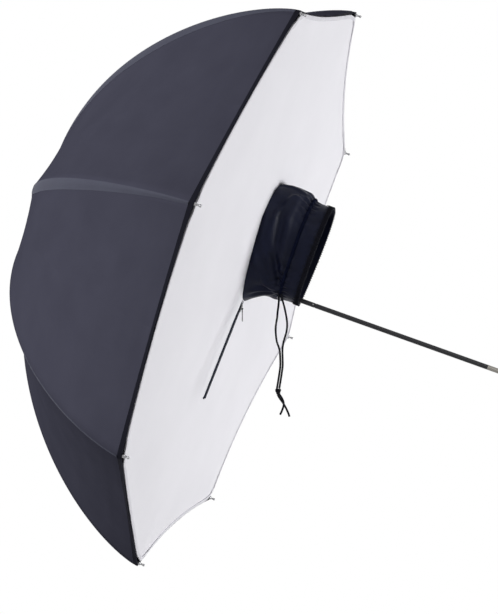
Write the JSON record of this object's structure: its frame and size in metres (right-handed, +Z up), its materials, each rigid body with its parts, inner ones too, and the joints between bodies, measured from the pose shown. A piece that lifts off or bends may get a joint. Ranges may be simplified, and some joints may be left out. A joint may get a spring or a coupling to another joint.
{
  "type": "umbrella reflector",
  "caption": "Folding studio umbrella with a black canopy, white front diffuser, flash sleeve with drawcord, zip and slim shaft",
  "frame": {"origin": "on the shaft's axis, at the middle of the bare stretch that a stand's umbrella holder clamps", "axes": "+Z up, +Y to the far side as pictured, +X the level direction in which the shaft's end points; the shaft drops towards +X by 22 degrees"},
  "size_m": [0.8162, 1.0168, 0.9498],
  "materials": {
    "black_lacquer": "satin",
    "bare_steel": "satin",
    "black_plastic": "satin",
    "plated_steel": "satin",
    "black_nylon": "matt",
    "white_nylon": "matt",
    "black_poly": "matt",
    "braid": "matt",
    "zip_nylon": "satin",
    "zip_metal": "gloss"
  },
  "bodies": {
    "shaft": {"shaft": "black_lacquer", "end_tip": "bare_steel", "crown": "black_plastic", "crown_wire": "plated_steel", "apex_cap": "black_plastic", "stop_pin": "plated_steel"},
    "catch": {"catch_spring": "plated_steel"},
    "runner": {"runner": "black_plastic", "runner_wire": "plated_steel"},
    "rib_1": {"rib_1": "black_lacquer", "rib_tip_1": "plated_steel", "canopy_1": "black_nylon"},
    "stretcher_1": {"stretcher_1": "black_lacquer"},
    "diffuser_1": {"diffuser_1": "white_nylon"},
    "rib_2": {"rib_2": "black_lacquer", "rib_tip_2": "plated_steel", "canopy_2": "black_nylon"},
    "stretcher_2": {"stretcher_2": "black_lacquer"},
    "diffuser_2": {"diffuser_2": "white_nylon"},
    "rib_3": {"rib_3": "black_lacquer", "rib_tip_3": "plated_steel", "canopy_3": "black_nylon"},
    "stretcher_3": {"stretcher_3": "black_lacquer"},
    "diffuser_3": {"diffuser_3": "white_nylon"},
    "rib_4": {"rib_4": "black_lacquer", "rib_tip_4": "plated_steel", "canopy_4": "black_nylon"},
    "stretcher_4": {"stretcher_4": "black_lacquer"},
    "diffuser_4": {"diffuser_4": "white_nylon"},
    "rib_5": {"rib_5": "black_lacquer", "rib_tip_5": "plated_steel", "canopy_5": "black_nylon"},
    "stretcher_5": {"stretcher_5": "black_lacquer"},
    "diffuser_5": {"diffuser_5": "white_nylon"},
    "rib_6": {"rib_6": "black_lacquer", "rib_tip_6": "plated_steel", "canopy_6": "black_nylon"},
    "stretcher_6": {"stretcher_6": "black_lacquer"},
    "diffuser_6": {"diffuser_6": "white_nylon"},
    "rib_7": {"rib_7": "black_lacquer", "rib_tip_7": "plated_steel", "canopy_7": "black_nylon"},
    "stretcher_7": {"stretcher_7": "black_lacquer"},
    "diffuser_7": {"diffuser_7": "white_nylon"},
    "rib_8": {"rib_8": "black_lacquer", "rib_tip_8": "plated_steel", "canopy_8": "black_nylon"},
    "stretcher_8": {"stretcher_8": "black_lacquer"},
    "diffuser_8": {"diffuser_8": "white_nylon"},
    "sleeve": {"sleeve": "black_nylon", "sleeve_hem": "black_poly", "cord_casing": "black_nylon", "drawcord_left": "braid", "drawcord_right": "braid", "cord_knot": "braid"},
    "zip_flap": {"zip_chain": "zip_nylon", "zip_tape": "black_poly"},
    "zip_slider": {"zip_slider": "zip_metal"},
    "zip_pull": {"zip_pull": "zip_metal"}
  },
  "joints": [
    {"name": "runner_slide", "type": "slide", "parent": "shaft", "child": "runner", "axis": [0.9272, 0, -0.3746], "range_m": [0, 0.3226]},
    {"name": "rib_1_fold", "type": "hinge", "parent": "shaft", "child": "rib_1", "pos_m": [-0.61379, 0, 0.2577], "axis": [0, 1, 0], "range_deg": [0, 51.3], "deforming": ["canopy_1"]},
    {"name": "stretcher_1_fold", "type": "hinge", "parent": "rib_1", "child": "stretcher_1", "pos_m": [-0.46912, 0, 0.45362], "axis": [0, 1, 0], "range_deg": [-102.61, 0]},
    {"name": "diffuser_1_fold", "type": "hinge", "parent": "rib_1", "child": "diffuser_1", "pos_m": [-0.0783, 0, 0.57004], "axis": [0, 1, 0], "range_deg": [0, 42.01], "deforming": ["diffuser_1"]},
    {"name": "rib_2_fold", "type": "hinge", "parent": "shaft", "child": "rib_2", "pos_m": [-0.61478, 0.00636, 0.25525], "axis": [-0.2649, 0.7071, -0.6556], "range_deg": [0, 51.3], "deforming": ["canopy_2"]},
    {"name": "stretcher_2_fold", "type": "hinge", "parent": "rib_2", "child": "stretcher_2", "pos_m": [-0.49598, 0.17314, 0.38713], "axis": [-0.2649, 0.7071, -0.6556], "range_deg": [-102.61, 0]},
    {"name": "diffuser_2_fold", "type": "hinge", "parent": "rib_2", "child": "diffuser_2", "pos_m": [-0.13307, 0.35299, 0.43447], "axis": [-0.2649, 0.7071, -0.6556], "range_deg": [0, 42.01], "deforming": ["diffuser_2"]},
    {"name": "rib_3_fold", "type": "hinge", "parent": "shaft", "child": "rib_3", "pos_m": [-0.61717, 0.009, 0.24935], "axis": [-0.3746, 0, -0.9272], "range_deg": [0, 51.3], "deforming": ["canopy_3"]},
    {"name": "stretcher_3_fold", "type": "hinge", "parent": "rib_3", "child": "stretcher_3", "pos_m": [-0.56084, 0.24486, 0.22659], "axis": [-0.3746, 0, -0.9272], "range_deg": [-102.61, 0]},
    {"name": "diffuser_3_fold", "type": "hinge", "parent": "rib_3", "child": "diffuser_3", "pos_m": [-0.2653, 0.4992, 0.10719], "axis": [-0.3746, 0, -0.9272], "range_deg": [0, 42.01], "deforming": ["diffuser_3"]},
    {"name": "rib_4_fold", "type": "hinge", "parent": "shaft", "child": "rib_4", "pos_m": [-0.61955, 0.00636, 0.24345], "axis": [-0.2649, -0.7071, -0.6556], "range_deg": [0, 51.3], "deforming": ["canopy_4"]},
    {"name": "stretcher_4_fold", "type": "hinge", "parent": "rib_4", "child": "stretcher_4", "pos_m": [-0.6257, 0.17314, 0.06606], "axis": [-0.2649, -0.7071, -0.6556], "range_deg": [-102.61, 0]},
    {"name": "diffuser_4_fold", "type": "hinge", "parent": "rib_4", "child": "diffuser_4", "pos_m": [-0.39753, 0.35299, -0.2201], "axis": [-0.2649, -0.7071, -0.6556], "range_deg": [0, 42.01], "deforming": ["diffuser_4"]},
    {"name": "rib_5_fold", "type": "hinge", "parent": "shaft", "child": "rib_5", "pos_m": [-0.62054, 0, 0.24101], "axis": [0, -1, 0], "range_deg": [0, 51.3], "deforming": ["canopy_5"]},
    {"name": "stretcher_5_fold", "type": "hinge", "parent": "rib_5", "child": "stretcher_5", "pos_m": [-0.65257, 0, -0.00043], "axis": [0, -1, 0], "range_deg": [-102.61, 0]},
    {"name": "diffuser_5_fold", "type": "hinge", "parent": "rib_5", "child": "diffuser_5", "pos_m": [-0.4523, 0, -0.35566], "axis": [0, -1, 0], "range_deg": [0, 42.01], "deforming": ["diffuser_5"]},
    {"name": "rib_6_fold", "type": "hinge", "parent": "shaft", "child": "rib_6", "pos_m": [-0.61955, -0.00636, 0.24345], "axis": [0.2649, -0.7071, 0.6556], "range_deg": [0, 51.3], "deforming": ["canopy_6"]},
    {"name": "stretcher_6_fold", "type": "hinge", "parent": "rib_6", "child": "stretcher_6", "pos_m": [-0.6257, -0.17314, 0.06606], "axis": [0.2649, -0.7071, 0.6556], "range_deg": [-102.61, 0]},
    {"name": "diffuser_6_fold", "type": "hinge", "parent": "rib_6", "child": "diffuser_6", "pos_m": [-0.39753, -0.35299, -0.2201], "axis": [0.2649, -0.7071, 0.6556], "range_deg": [0, 42.01], "deforming": ["diffuser_6"]},
    {"name": "rib_7_fold", "type": "hinge", "parent": "shaft", "child": "rib_7", "pos_m": [-0.61717, -0.009, 0.24935], "axis": [0.3746, 0, 0.9272], "range_deg": [0, 51.3], "deforming": ["canopy_7"]},
    {"name": "stretcher_7_fold", "type": "hinge", "parent": "rib_7", "child": "stretcher_7", "pos_m": [-0.56084, -0.24486, 0.22659], "axis": [0.3746, 0, 0.9272], "range_deg": [-102.61, 0]},
    {"name": "diffuser_7_fold", "type": "hinge", "parent": "rib_7", "child": "diffuser_7", "pos_m": [-0.2653, -0.4992, 0.10719], "axis": [0.3746, 0, 0.9272], "range_deg": [0, 42.01], "deforming": ["diffuser_7"]},
    {"name": "rib_8_fold", "type": "hinge", "parent": "shaft", "child": "rib_8", "pos_m": [-0.61478, -0.00636, 0.25525], "axis": [0.2649, 0.7071, 0.6556], "range_deg": [0, 51.3], "deforming": ["canopy_8"]},
    {"name": "stretcher_8_fold", "type": "hinge", "parent": "rib_8", "child": "stretcher_8", "pos_m": [-0.49598, -0.17314, 0.38713], "axis": [0.2649, 0.7071, 0.6556], "range_deg": [-102.61, 0]},
    {"name": "diffuser_8_fold", "type": "hinge", "parent": "rib_8", "child": "diffuser_8", "pos_m": [-0.13307, -0.35299, 0.43447], "axis": [0.2649, 0.7071, 0.6556], "range_deg": [0, 42.01], "deforming": ["diffuser_8"]},
    {"name": "sleeve_slide", "type": "slide", "parent": "shaft", "child": "sleeve", "axis": [0.9272, 0, -0.3746], "range_m": [0, 0.2581], "deforming": ["sleeve", "sleeve_hem", "cord_casing"]},
    {"name": "catch_press", "type": "slide", "parent": "shaft", "child": "catch", "axis": [0.3461, 0.3827, 0.8566], "range_m": [0, 0.003], "stiffness_N_per_m": 400, "deforming": ["catch_spring"]},
    {"name": "zip_flap_fold", "type": "hinge", "parent": "sleeve", "child": "zip_flap", "pos_m": [-0.27786, 0, 0.07344], "axis": [0, -1, 0], "range_deg": [0, 90.02]},
    {"name": "zip_slide", "type": "slide", "parent": "zip_flap", "child": "zip_slider", "axis": [-0.3746, 0, -0.9272], "range_m": [0, 0.15], "deforming": ["zip_chain", "zip_tape"]},
    {"name": "zip_pull_swing", "type": "hinge", "parent": "zip_slider", "child": "zip_pull", "pos_m": [-0.27836, 0, 0.06177], "axis": [0, 1, 0], "range_deg": [-30, 20]}
  ],
  "couplings": [
    {"joint": "rib_1_fold", "follows": "runner_slide", "rad_per_m": 2.7751},
    {"joint": "stretcher_1_fold", "follows": "runner_slide", "rad_per_m": -5.5503},
    {"joint": "diffuser_1_fold", "follows": "runner_slide", "rad_per_m": 2.2724},
    {"joint": "rib_2_fold", "follows": "runner_slide", "rad_per_m": 2.7751},
    {"joint": "stretcher_2_fold", "follows": "runner_slide", "rad_per_m": -5.5503},
    {"joint": "diffuser_2_fold", "follows": "runner_slide", "rad_per_m": 2.2724},
    {"joint": "rib_3_fold", "follows": "runner_slide", "rad_per_m": 2.7751},
    {"joint": "stretcher_3_fold", "follows": "runner_slide", "rad_per_m": -5.5503},
    {"joint": "diffuser_3_fold", "follows": "runner_slide", "rad_per_m": 2.2724},
    {"joint": "rib_4_fold", "follows": "runner_slide", "rad_per_m": 2.7751},
    {"joint": "stretcher_4_fold", "follows": "runner_slide", "rad_per_m": -5.5503},
    {"joint": "diffuser_4_fold", "follows": "runner_slide", "rad_per_m": 2.2724},
    {"joint": "rib_5_fold", "follows": "runner_slide", "rad_per_m": 2.7751},
    {"joint": "stretcher_5_fold", "follows": "runner_slide", "rad_per_m": -5.5503},
    {"joint": "diffuser_5_fold", "follows": "runner_slide", "rad_per_m": 2.2724},
    {"joint": "rib_6_fold", "follows": "runner_slide", "rad_per_m": 2.7751},
    {"joint": "stretcher_6_fold", "follows": "runner_slide", "rad_per_m": -5.5503},
    {"joint": "diffuser_6_fold", "follows": "runner_slide", "rad_per_m": 2.2724},
    {"joint": "rib_7_fold", "follows": "runner_slide", "rad_per_m": 2.7751},
    {"joint": "stretcher_7_fold", "follows": "runner_slide", "rad_per_m": -5.5503},
    {"joint": "diffuser_7_fold", "follows": "runner_slide", "rad_per_m": 2.2724},
    {"joint": "rib_8_fold", "follows": "runner_slide", "rad_per_m": 2.7751},
    {"joint": "stretcher_8_fold", "follows": "runner_slide", "rad_per_m": -5.5503},
    {"joint": "diffuser_8_fold", "follows": "runner_slide", "rad_per_m": 2.2724},
    {"joint": "sleeve_slide", "follows": "runner_slide", "ratio": 0.79981},
    {"joint": "zip_flap_fold", "follows": "runner_slide", "rad_per_m": 4.8695}
  ]
}
